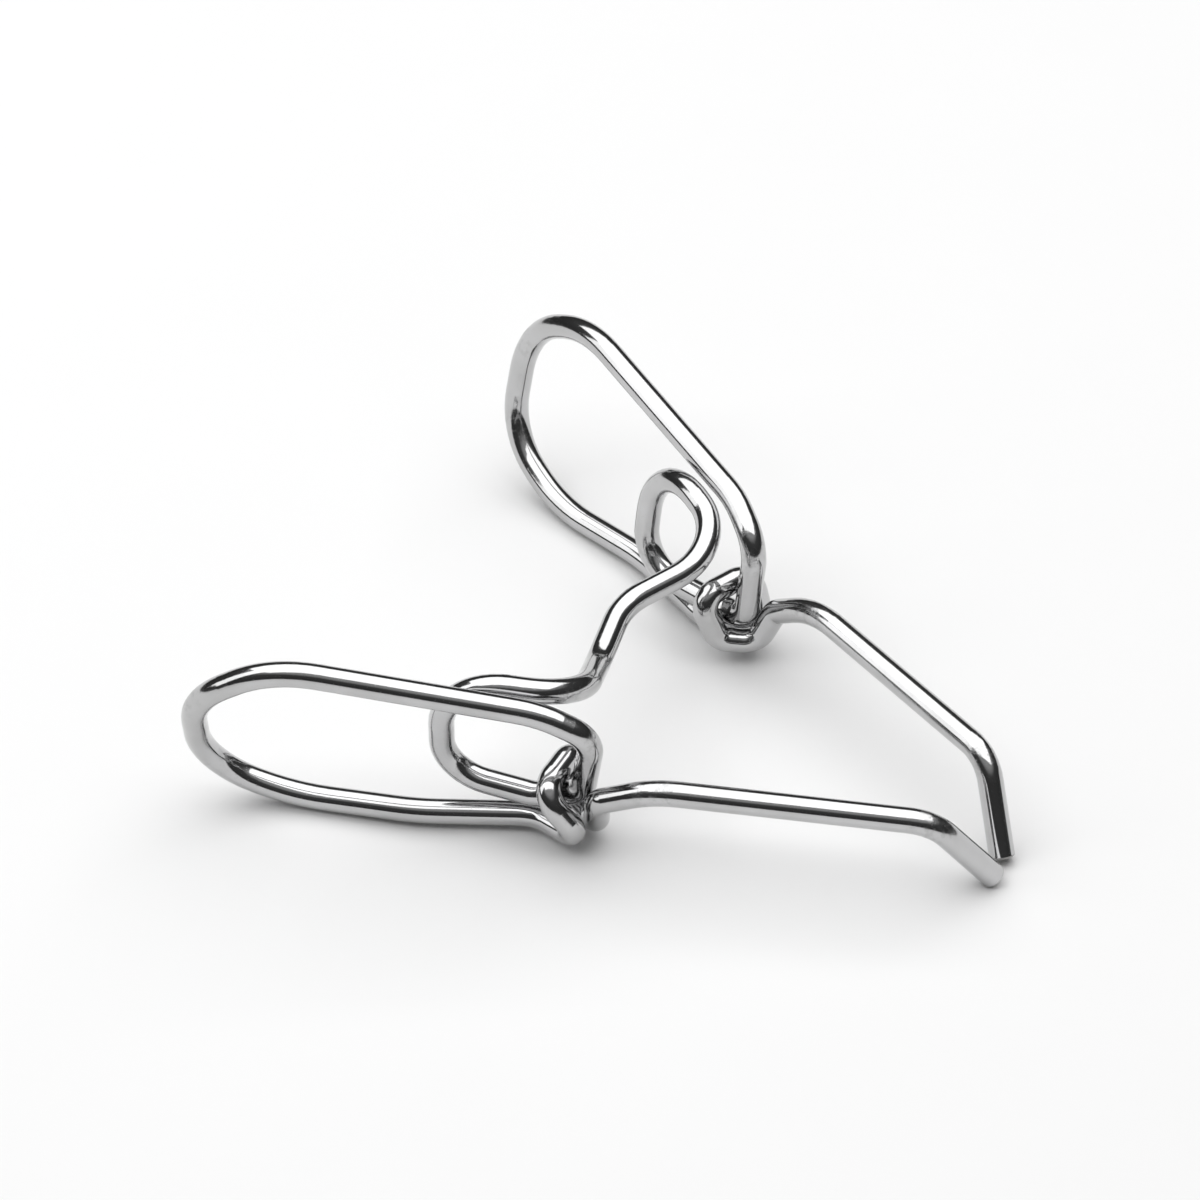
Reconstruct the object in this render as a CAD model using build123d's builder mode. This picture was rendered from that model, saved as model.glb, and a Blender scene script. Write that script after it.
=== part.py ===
"""Spring clip bent from one length of round spring wire.

Two mirrored halves meet in a cross-over spring. Each half runs from its jaw tip along the arm to a
knot, wraps once around itself, makes the long finger loop, comes back through its own wrap and
leaves as the small return loop of the spring.

Frame: millimetres. The clip lies on its side, as it comes to rest, with Z up from the table.
X runs along the clip towards the jaw tips, and the halves lie on either side of the XZ plane.
The origin is on the table, under the middle of the clip.
"""

from build123d import *
from collections import namedtuple
from math import pi
import os

os.makedirs("parts", exist_ok=True)

# Driving dimensions
wire_diameter = 2.0
strand_gap = 0.08  # the closed tips all but touch
end_dulling = 0.15  # the sheared ends are slightly rounded over
jaw_reach = 28.6  # origin to the jaw tips
arm_height = 7.6  # the arms run nearly level from here
knot_half_spread = 12.0  # middle plane to the wire that passes down through a knot
handle_reach = 29.0  # origin to the far end of the finger loops
handle_half_spread = 25.0  # middle plane to the widest corner of a finger loop
handle_height = 17.4  # highest run of a finger loop
bed_height = 1.2  # lowest run of a finger loop

wire_radius = wire_diameter / 2
tip_offset = (wire_diameter + strand_gap) / 2

# A corner of the centreline: distance along the clip, distance out from the middle plane, height
# and bend radius. The clip is bent by hand, so its halves are not quite mirror images: lean is
# what the +Y half adds to the corner's position, and the -Y half takes away.
Corner = namedtuple("Corner", "along out height bend lean", defaults=((0, 0, 0),))

# From the jaw tip, which hooks down to the table, back along the arm and down into the knot
arm = [
    Corner(jaw_reach, tip_offset, 0.5, 0, lean=(-0.2, 0, 0)),
    Corner(25.3, 4.2, 7.1, 3.5),
    Corner(5.7, 12.0, arm_height, 7.9, lean=(0.1, 0, -0.1)),
    Corner(1.6, 12.9, 5.3, 1.3, lean=(0.3, -0.2, -0.3)),
]
# Under the knot, up its inner side, over the top and down its outer side
wrap = [
    Corner(0.2, 11.8, 1.5, 1.7, lean=(0.2, 0.3, 0.1)),
    Corner(-2.4, 10.3, 2.1, 1.4, lean=(0.3, 0.1, 0.1)),
    Corner(-3.1, 9.7, 6.4, 1.3, lean=(-0.2, 0, 0)),
    Corner(-2.1, 14.9, 6.2, 1.8, lean=(0.5, -0.1, -0.1)),
    Corner(0.2, 14.0, 1.6, 1.3, lean=(-0.2, 0, -0.2)),
]
# Low run of the finger loop, round its far end, high run back, and down through the wrap
finger_loop = [
    Corner(-4.8, 12.9, 1.3, 3.7, lean=(-0.1, 0.1, 0)),
    Corner(-12.9, 16.9, bed_height, 19.5),
    Corner(-22.5, 19.5, 0.9, 13.0, lean=(-0.1, -0.2, 0)),
    Corner(-handle_reach, 22.4, 3.9, 6.1, lean=(0, 0, 0.2)),
    Corner(-27.7, handle_half_spread, 13.4, 6.7, lean=(-0.5, 0, 0.4)),
    Corner(-21.0, 23.0, handle_height, 8.8, lean=(-0.2, 0, 0.1)),
    Corner(-2.7, 14.4, 13.6, 10.0, lean=(0.1, 0.1, -0.1)),
    Corner(0.8, knot_half_spread + 0.2, 11.6, 2.7, lean=(0, -0.4, 0.2)),
    Corner(-0.7, knot_half_spread - 0.1, 4.2, 1.75, lean=(0.2, 0.1, -0.4)),
]
# Back over the low run, up and forward again over the knot, and across to the other half
return_loop = [
    Corner(-4.6, 12.9, 3.6, 3.0, lean=(0, -0.1, 0)),
    Corner(-11.6, 14.3, 3.8, 3.5, lean=(0.3, -0.2, -0.3)),
    Corner(-10.7, 15.7, 14.6, 4.8, lean=(0.1, 0.3, -0.1)),
    Corner(-0.9, 10.6, 12.8, 4.8, lean=(0.4, -0.1, -0.4)),
    Corner(-5.2, 3.0, 9.8, 4.4, lean=(-0.7, -0.4, 0.4)),
]
half = arm + wrap + finger_loop + return_loop


def place(corner, side):
    """The corner's point on the -Y half (side -1) or the +Y half (side 1)."""
    x, out, z = (size + side * lean for size, lean in zip(corner[:3], corner.lean))
    return (x, side * out, z)


route = [place(corner, -1) for corner in half] + [place(corner, 1) for corner in reversed(half)]
bends = [corner.bend for corner in half[1:]] + [corner.bend for corner in reversed(half[1:])]

with BuildPart() as clip_wire:
    with BuildLine() as centreline:
        FilletPolyline(*route, radius=bends)
    wire_path = centreline.wires()[0]
    with BuildSketch(Plane(origin=wire_path @ 0, z_dir=wire_path % 0)):
        Circle(wire_radius)
    sweep(path=wire_path)
    sheared_ends = clip_wire.faces().filter_by(GeomType.PLANE)
    chamfer(sheared_ends.edges(), length=end_dulling)

clip_wire.part.label = "clip_wire"
export_step(clip_wire.part, "parts/clip_wire.step")

section_volume = pi * wire_radius**2 * wire_path.length
print(f"wire length {wire_path.length:.1f} mm, solids {len(clip_wire.solids())}")
print(f"volume {clip_wire.part.volume:.1f} mm3, section times length {section_volume:.1f} mm3")
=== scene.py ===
"""Studio scene for the bent-wire spring clip: polished steel wire on a plain pale table."""

import bpy
from functools import reduce
from math import cos, radians, sin
from mathutils import Matrix, Vector


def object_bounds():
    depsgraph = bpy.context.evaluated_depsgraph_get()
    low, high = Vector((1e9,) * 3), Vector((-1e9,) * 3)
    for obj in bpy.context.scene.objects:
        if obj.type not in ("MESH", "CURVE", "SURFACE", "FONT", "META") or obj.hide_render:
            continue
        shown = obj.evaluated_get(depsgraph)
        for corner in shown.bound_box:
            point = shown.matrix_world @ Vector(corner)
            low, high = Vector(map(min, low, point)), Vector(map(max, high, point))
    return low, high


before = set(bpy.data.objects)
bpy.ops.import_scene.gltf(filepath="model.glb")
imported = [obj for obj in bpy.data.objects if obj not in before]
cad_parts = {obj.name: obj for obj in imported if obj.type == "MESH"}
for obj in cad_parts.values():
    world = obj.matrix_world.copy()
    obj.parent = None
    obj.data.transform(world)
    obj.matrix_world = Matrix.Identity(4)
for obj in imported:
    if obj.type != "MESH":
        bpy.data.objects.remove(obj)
cad_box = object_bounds()

bl_info = {
    "name": "Wire Spring Clip",
    "version": (1, 0, 0),
    "blender": (4, 5, 0),
    "location": "3D View > Sidebar > Clip",
    "description": "Finishes a bent-wire spring clip and sets up its studio",
    "category": "Object",
}

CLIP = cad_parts["clip_wire"]
WIRE_RADIUS = 0.001
# Where each sheared end of the wire is, and the way it points
SHEARED_ENDS = [
    (Vector((0.0288, -0.00104, 0.0005)), Vector((0.42, 0.41, -0.81))),
    (Vector((0.0284, 0.00104, 0.0005)), Vector((0.42, -0.41, -0.81))),
]
# Near the bends that show the grip of the bending tool, on the +Y half. The -Y half mirrors them.
TOOL_BENDS = [
    (0.0058, 0.0118, 0.0075),
    (0.0252, 0.0044, 0.0069),
    (-0.0277, 0.0247, 0.0128),
    (-0.0285, 0.0221, 0.0045),
    (-0.0105, 0.0155, 0.0138),
    (-0.0113, 0.0142, 0.0043),
    (-0.0012, 0.0110, 0.0126),
    (0.0008, 0.0122, 0.0110),
]
# Where the camera aims, and the point on the clip that the lights face
CAMERA_TARGET = Vector((-0.00606, 0, 0.01281))
LIGHT_TARGET = Vector((0, 0, 0.009))
# Small sideways and upward shift of the camera that centres the clip in the frame
CAMERA_SHIFT = (-0.000118, -0.000109)
# Grey of the room against the sine of the height angle: dim low down and paler higher up
ROOM_SHADES = ((0.0, 0.16), (0.12, 0.06), (0.55, 0.10), (0.75, 0.6))


class Field:
    """A shader socket that takes part in Python arithmetic by adding Math nodes."""

    def __init__(self, maker, socket):
        self.maker = maker
        self.socket = socket

    def maths(self, operation, *values):
        return self.maker.node("ShaderNodeMath", {"operation": operation}, values)

    def __add__(self, other):
        return self.maths("ADD", self, other)

    __radd__ = __add__

    def __sub__(self, other):
        return self.maths("SUBTRACT", self, other)

    def __rsub__(self, other):
        return self.maths("SUBTRACT", other, self)

    def __mul__(self, other):
        return self.maths("MULTIPLY", self, other)

    __rmul__ = __mul__

    def smooth(self, low, high):
        """0 below low, 1 above high, with a soft step between. High may be the lower number."""
        settings = {"interpolation_type": "SMOOTHSTEP"}
        return self.maker.node("ShaderNodeMapRange", settings, (self, low, high))

    def at_most(self, other):
        return self.maths("MINIMUM", self, other)

    def at_least(self, other):
        return self.maths("MAXIMUM", self, other)


class Finish:
    """A new material and the means to add nodes to it."""

    def __init__(self, name):
        self.material = bpy.data.materials.new(name)
        self.material.use_nodes = True
        self.tree = self.material.node_tree
        self.shader = self.tree.nodes["Principled BSDF"]
        self.position = self.node("ShaderNodeTexCoord", output="Object")

    def node(self, kind, settings=None, values=(), output=0):
        """Adds a node: its settings first, then the values or links of its sockets."""
        made = self.tree.nodes.new(kind)
        for setting, value in (settings or {}).items():
            setattr(made, setting, value)
        pairs = values.items() if isinstance(values, dict) else enumerate(values)
        for socket, value in pairs:
            self.join(value, made.inputs[socket])
        return Field(self, made.outputs[output])

    def join(self, value, socket):
        if isinstance(value, Field):
            self.tree.links.new(value.socket, socket)
        else:
            socket.default_value = value

    def noise(self, size, detail=2.0, roughness=0.5):
        """Noise from 0 to 1, with features about size metres across."""
        values = {"Vector": self.position, "Scale": 1 / size, "Detail": detail, "Roughness": roughness}
        return self.node("ShaderNodeTexNoise", None, values)

    def distance_to(self, place):
        settings = {"operation": "DISTANCE"}
        return self.node("ShaderNodeVectorMath", settings, (self.position, place), "Value")

    def beyond(self, place, direction):
        """How far the surface lies past a plane through place, in metres."""
        offset = self.node("ShaderNodeVectorMath", {"operation": "SUBTRACT"}, (self.position, place))
        settings = {"operation": "DOT_PRODUCT"}
        return self.node("ShaderNodeVectorMath", settings, (offset, direction), "Value")

    def blend(self, amount, first, second):
        """Mixes two colours."""
        values = {0: amount, 6: first, 7: second}
        return self.node("ShaderNodeMix", {"data_type": "RGBA"}, values, 2)

    def bump(self, height, strength, distance):
        values = {"Height": height, "Strength": strength, "Distance": distance}
        return self.node("ShaderNodeBump", None, values)

    def set(self, **inputs):
        for socket, value in inputs.items():
            self.join(value, self.shader.inputs[socket.replace("_", " ")])


def greatest(fields):
    """The largest of several fields at each point."""
    return reduce(Field.at_least, fields)


def grey(value):
    """A neutral colour."""
    return (value, value, value, 1.0)


def add_material(settings):
    """Bright polished spring steel with handling marks, dull bends and sheared ends."""
    steel = Finish("polished_spring_steel")
    haze = steel.noise(0.006, 3.0, 0.6)
    drawing = steel.noise(0.00035, 2.0, 0.5)
    specks = steel.noise(0.00012, 1.0, 0.4).smooth(0.66, 0.74)

    gripped = [
        steel.distance_to((x, side * y, z)).smooth(2.6 * WIRE_RADIUS, 1.2 * WIRE_RADIUS)
        for x, y, z in TOOL_BENDS
        for side in (-1, 1)
    ]
    scuffs = greatest(gripped) * steel.noise(0.0009, 3.0, 0.7).smooth(0.48, 0.62)

    cut_faces = []
    for place, direction in SHEARED_ENDS:
        close = steel.distance_to(place).smooth(1.5 * WIRE_RADIUS, 1.15 * WIRE_RADIUS)
        past_cut = steel.beyond(place, direction.normalized()).smooth(-0.00022, -0.00010)
        cut_faces.append(past_cut * close)
    sheared = greatest(cut_faces)

    bright = tuple(settings.wire_colour) + (1.0,)
    worn = steel.blend(haze.smooth(0.35, 0.7), bright, grey(0.49))
    marked = steel.blend((0.5 * scuffs + 0.35 * specks).at_most(1.0), worn, grey(0.42))
    colour = steel.blend(sheared, marked, (0.33, 0.325, 0.32, 1.0))
    polish = settings.polish + 0.035 * haze + 0.02 * drawing
    roughness = (polish + 0.16 * scuffs + 0.05 * specks + 0.26 * sheared).at_most(1.0)
    relief = 0.25 * drawing + 0.6 * scuffs * drawing + 1.2 * sheared * drawing - 0.2 * specks
    normal = steel.bump(relief, settings.relief, 0.00002)
    steel.set(Base_Color=colour, Roughness=roughness, Normal=normal, Metallic=1.0)
    return steel.material


class ClipSettings(bpy.types.PropertyGroup):
    """Finish of the wire."""

    wire_colour: bpy.props.FloatVectorProperty(
        name="Wire colour",
        description="Colour of the clean polished wire",
        subtype="COLOR",
        default=(0.55, 0.55, 0.555),
        min=0,
        max=1,
    )
    polish: bpy.props.FloatProperty(
        name="Polish",
        description="Lowest roughness of the wire, where 0 is a mirror",
        subtype="FACTOR",
        default=0.07,
        min=0,
        max=1,
    )
    relief: bpy.props.FloatProperty(
        name="Relief",
        description="Strength of the fine drawing texture",
        subtype="FACTOR",
        default=0.35,
        min=0,
        max=1,
    )


class StudioSettings(bpy.types.PropertyGroup):
    """Table, lights and camera."""

    table_colour: bpy.props.FloatVectorProperty(
        name="Table colour",
        description="Colour of the plain table",
        subtype="COLOR",
        default=(0.9, 0.9, 0.9),
        min=0,
        max=1,
    )
    table_size: bpy.props.FloatProperty(
        name="Table size",
        description="Length of each side of the table",
        subtype="DISTANCE",
        unit="LENGTH",
        default=4.0,
    )
    camera_distance: bpy.props.FloatProperty(
        name="Camera distance",
        description="From the camera to the middle of the clip",
        subtype="DISTANCE",
        unit="LENGTH",
        default=0.4,
    )
    camera_heading: bpy.props.FloatProperty(
        name="Camera heading",
        description="Direction of the camera from the clip, anticlockwise from +X",
        subtype="ANGLE",
        unit="ROTATION",
        default=radians(-56.404),
    )
    camera_height: bpy.props.FloatProperty(
        name="Camera elevation",
        description="How steeply the camera looks down",
        subtype="ANGLE",
        unit="ROTATION",
        default=radians(41.450),
    )
    camera_roll: bpy.props.FloatProperty(
        name="Camera roll",
        description="Tilt of the camera about its own line of sight",
        subtype="ANGLE",
        unit="ROTATION",
        default=radians(-3.127),
    )
    focal_length: bpy.props.FloatProperty(
        name="Focal length",
        description="Focal length of the lens, in millimetres on a 36 mm sensor",
        default=156.0,
    )
    key_power: bpy.props.FloatProperty(
        name="Key light",
        description="Power of the large soft light overhead",
        subtype="POWER",
        unit="POWER",
        default=4.7,
    )
    fill_power: bpy.props.FloatProperty(
        name="Side light",
        description="Power of the weak soft light at the side",
        subtype="POWER",
        unit="POWER",
        default=0.8,
    )
    room_light: bpy.props.FloatProperty(
        name="Room light",
        description="Strength of the even light from all round",
        subtype="FACTOR",
        default=0.6,
        min=0,
        max=2,
    )


class CLIP_OT_finish_wire(bpy.types.Operator):
    """Give the bent wire its polished steel finish"""

    bl_idname = "clip.finish_wire"
    bl_label = "Finish Wire"

    def execute(self, context):
        material = add_material(context.scene.clip_settings)
        for material_slot in CLIP.material_slots:
            material_slot.material = material
        return {"FINISHED"}


class CLIP_OT_build_studio(bpy.types.Operator):
    """Set out the table, lights and camera"""

    bl_idname = "clip.build_studio"
    bl_label = "Build Studio"

    def execute(self, context):
        settings = context.scene.studio_settings
        self.lay_table(context, settings)
        self.hang_lights(context, settings)
        self.place_camera(context, settings)
        return {"FINISHED"}

    def lay_table(self, context, settings):
        bpy.ops.object.select_all(action="DESELECT")
        bpy.ops.mesh.primitive_plane_add(size=settings.table_size, location=(0, 0, cad_box[0][2]))
        table = context.object
        table.name = "table"
        bpy.ops.object.transform_apply(location=True, rotation=True, scale=True)
        paper = Finish("pale_table")
        grain = paper.noise(0.02, 3.0, 0.5)
        pale = tuple(settings.table_colour) + (1.0,)
        darker = tuple(0.985 * part for part in settings.table_colour) + (1.0,)
        paper.set(Base_Color=paper.blend(grain, pale, darker), Roughness=0.75 + 0.1 * grain)
        table.data.materials.append(paper.material)

    def hang_lights(self, context, settings):
        behind = Vector((-cos(settings.camera_heading), -sin(settings.camera_heading), 0))
        along = Vector((behind.y, -behind.x, 0))
        overhead = Vector((0, 0, 1))
        lights = [
            # name, power, width, depth, direction from the clip, distance
            ("overhead", settings.key_power, 1.0, 0.86, overhead + 0.19 * behind, 0.55),
            ("side", settings.fill_power, 0.5, 0.3, overhead - 1.6 * along, 0.7),
        ]
        for name, power, width, depth, direction, distance in lights:
            direction = direction.normalized()
            across = direction.cross(along).normalized()
            turn = Matrix((across.cross(direction), across, direction)).transposed().to_euler()
            place = LIGHT_TARGET + distance * direction
            bpy.ops.object.light_add(type="AREA", location=place, rotation=turn)
            lamp = context.object
            lamp.name = name
            lamp.data.shape = "RECTANGLE"
            lamp.data.size = width
            lamp.data.size_y = depth
            lamp.data.energy = power
        context.scene.view_settings.view_transform = "Standard"
        world = context.scene.world or bpy.data.worlds.new("room")
        context.scene.world = world
        world.use_nodes = True
        tree = world.node_tree
        background = tree.nodes["Background"]
        background.inputs["Strength"].default_value = settings.room_light
        direction = tree.nodes.new("ShaderNodeTexCoord")
        split = tree.nodes.new("ShaderNodeSeparateXYZ")
        ramp = tree.nodes.new("ShaderNodeValToRGB")
        tree.links.new(direction.outputs["Generated"], split.inputs[0])
        tree.links.new(split.outputs["Z"], ramp.inputs[0])
        tree.links.new(ramp.outputs[0], background.inputs["Color"])
        stops = ramp.color_ramp.elements
        while len(stops) < len(ROOM_SHADES):
            stops.new(0.5)
        for stop, (height, shade) in zip(stops, ROOM_SHADES):
            stop.position = height
            stop.color = grey(shade)

    def place_camera(self, context, settings):
        heading, height, roll = settings.camera_heading, settings.camera_height, settings.camera_roll
        back = Vector((cos(heading) * cos(height), sin(heading) * cos(height), sin(height)))
        level = Vector((-sin(heading), cos(heading), 0))
        right = cos(roll) * level + sin(roll) * back.cross(level)
        up = back.cross(right)
        middle = CAMERA_TARGET + CAMERA_SHIFT[0] * right + CAMERA_SHIFT[1] * up
        turn = Matrix((right, up, back)).transposed().to_euler()
        place = middle + settings.camera_distance * back
        bpy.ops.object.camera_add(location=place, rotation=turn)
        camera = context.object
        camera.name = "camera"
        camera.data.sensor_width = 36
        camera.data.lens = settings.focal_length
        camera.data.clip_start = 0.01
        camera.data.clip_end = 20
        context.scene.camera = camera


class CLIP_PT_panel(bpy.types.Panel):
    """Buttons and settings for the clip and its studio"""

    bl_idname = "CLIP_PT_panel"
    bl_label = "Wire Spring Clip"
    bl_space_type = "VIEW_3D"
    bl_region_type = "UI"
    bl_category = "Clip"

    def draw(self, context):
        for settings, operator in (
            (context.scene.clip_settings, CLIP_OT_finish_wire),
            (context.scene.studio_settings, CLIP_OT_build_studio),
        ):
            column = self.layout.column()
            for name in settings.__annotations__:
                column.prop(settings, name)
            column.operator(operator.bl_idname)


CLASSES = (ClipSettings, StudioSettings, CLIP_OT_finish_wire, CLIP_OT_build_studio, CLIP_PT_panel)


def register():
    for each in CLASSES:
        bpy.utils.register_class(each)
    bpy.types.Scene.clip_settings = bpy.props.PointerProperty(type=ClipSettings)
    bpy.types.Scene.studio_settings = bpy.props.PointerProperty(type=StudioSettings)


def unregister():
    del bpy.types.Scene.studio_settings
    del bpy.types.Scene.clip_settings
    for each in reversed(CLASSES):
        bpy.utils.unregister_class(each)


def main():
    register()
    bpy.ops.clip.finish_wire()
    bpy.ops.clip.build_studio()


if __name__ == "__main__":
    main()
